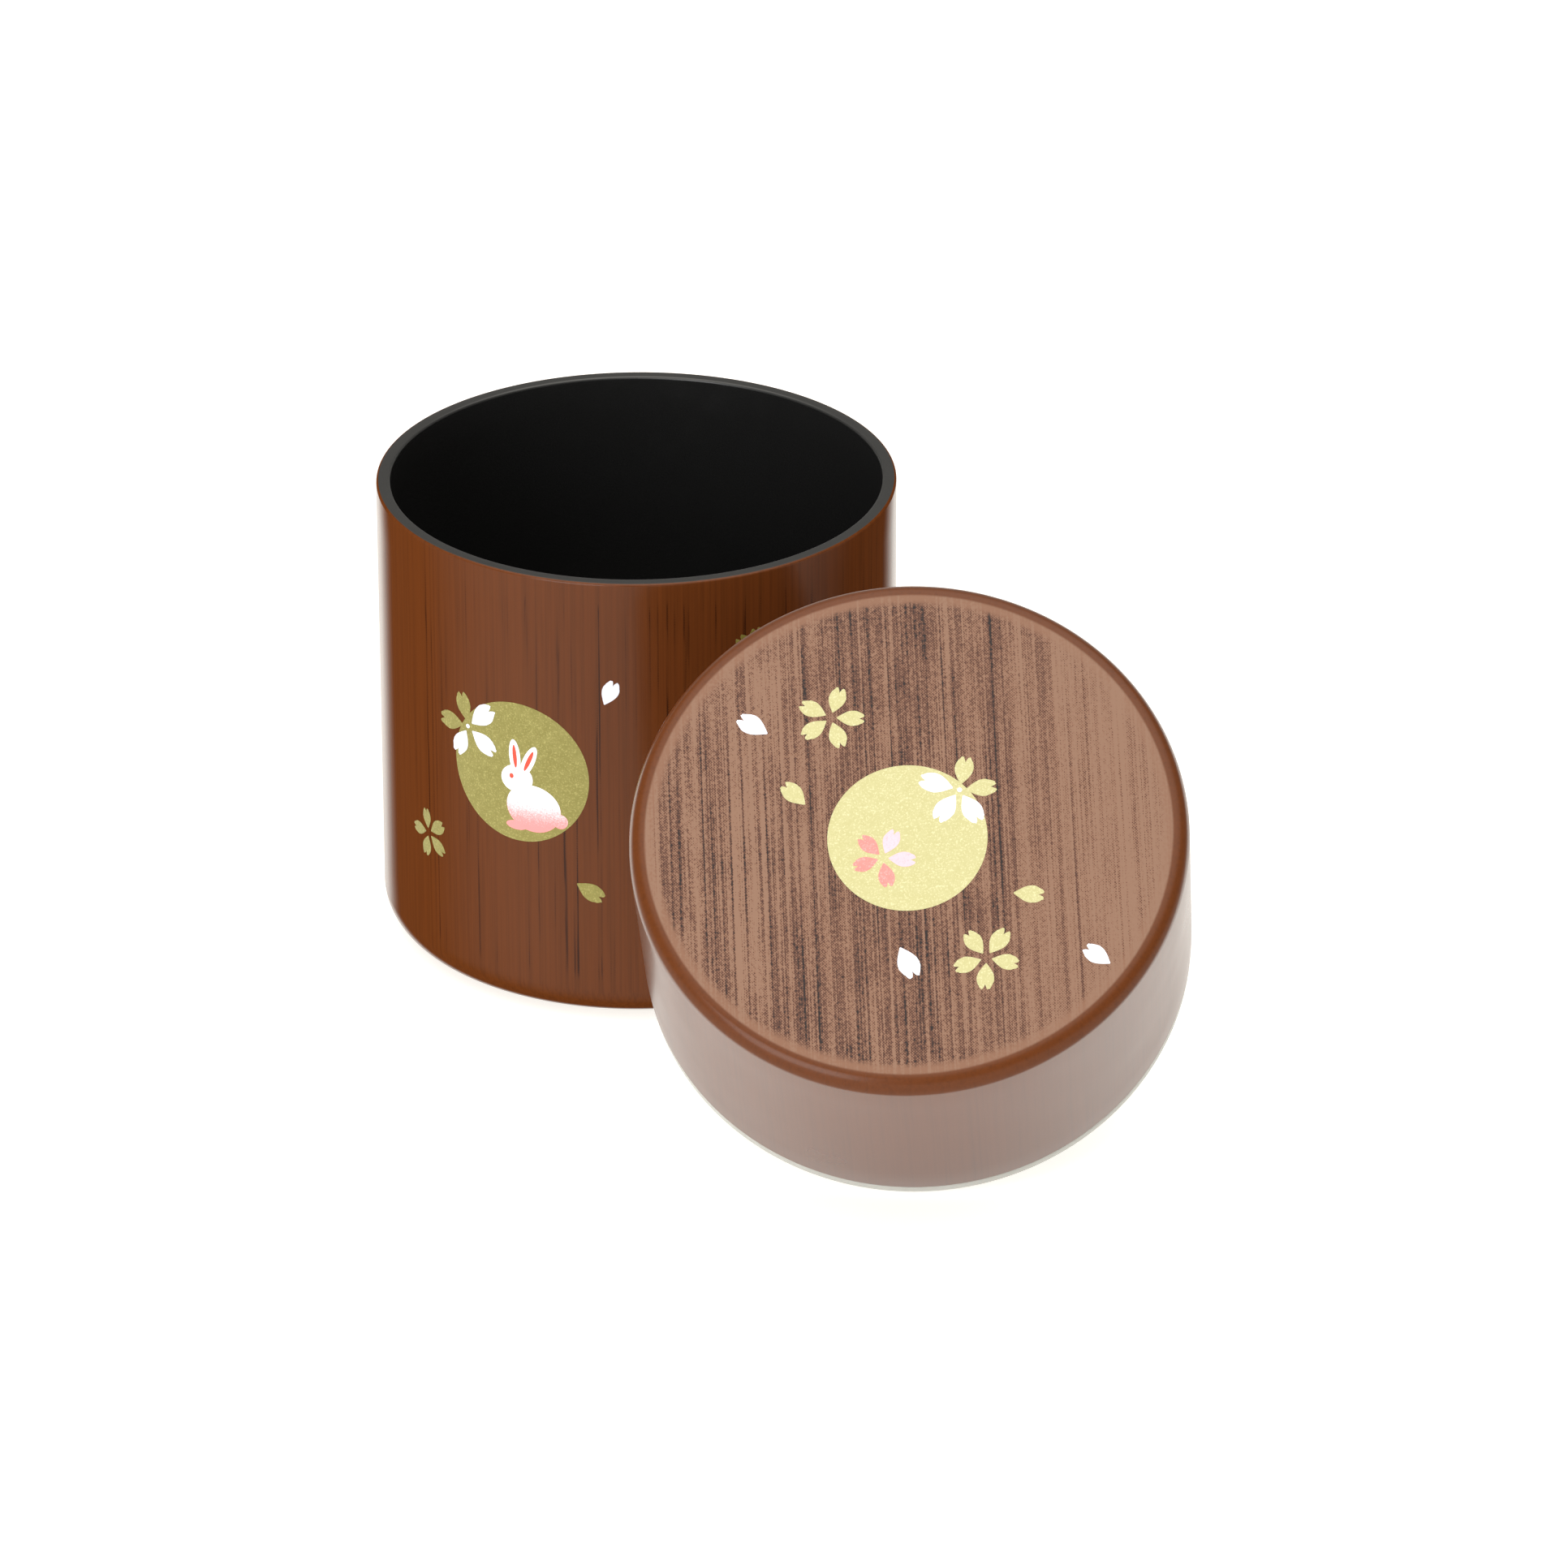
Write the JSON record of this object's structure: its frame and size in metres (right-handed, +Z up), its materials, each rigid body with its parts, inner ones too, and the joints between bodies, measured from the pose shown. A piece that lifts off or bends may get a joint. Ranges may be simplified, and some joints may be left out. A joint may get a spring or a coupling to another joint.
{
  "type": "tea caddy",
  "caption": "Round tea caddy: a straight open cup, with a deep push-on outer lid and its stopper-type inner lid leaning against it.",
  "frame": {"origin": "centre of the cup's base, on the plane of its foot ring", "axes": "+Z up the cup's axis; -Y towards the front, where the leaning lid's printed top faces; +X to the right seen from the front"},
  "size_m": [0.1235, 0.1572, 0.0802],
  "materials": {
    "cup_shell": "brown semi-gloss paint with a printed wood grain",
    "lid_shell": "light brown semi-gloss paint with a printed wood grain",
    "stopper": "translucent milky polyethylene",
    "black_moulding": "unpainted glossy black",
    "gold_print": "pale gold ink",
    "white_print": "opaque white ink",
    "pink_print": "coral pink ink"
  },
  "bodies": {
    "cup": {"cup": "cup_shell"},
    "inner_lid": {"inner_lid": "stopper"},
    "outer_lid": {"outer_lid": "lid_shell"}
  },
  "joints": [
    {"name": "lid_lift", "type": "slide", "parent": "cup", "child": "inner_lid", "axis": [0, 0, 1], "range_m": [0, 0.1]},
    {"name": "outer_lid_pull", "type": "slide", "parent": "inner_lid", "child": "outer_lid", "axis": [-0.0488, -0.6206, 0.7826], "range_m": [0, 0.045]}
  ]
}
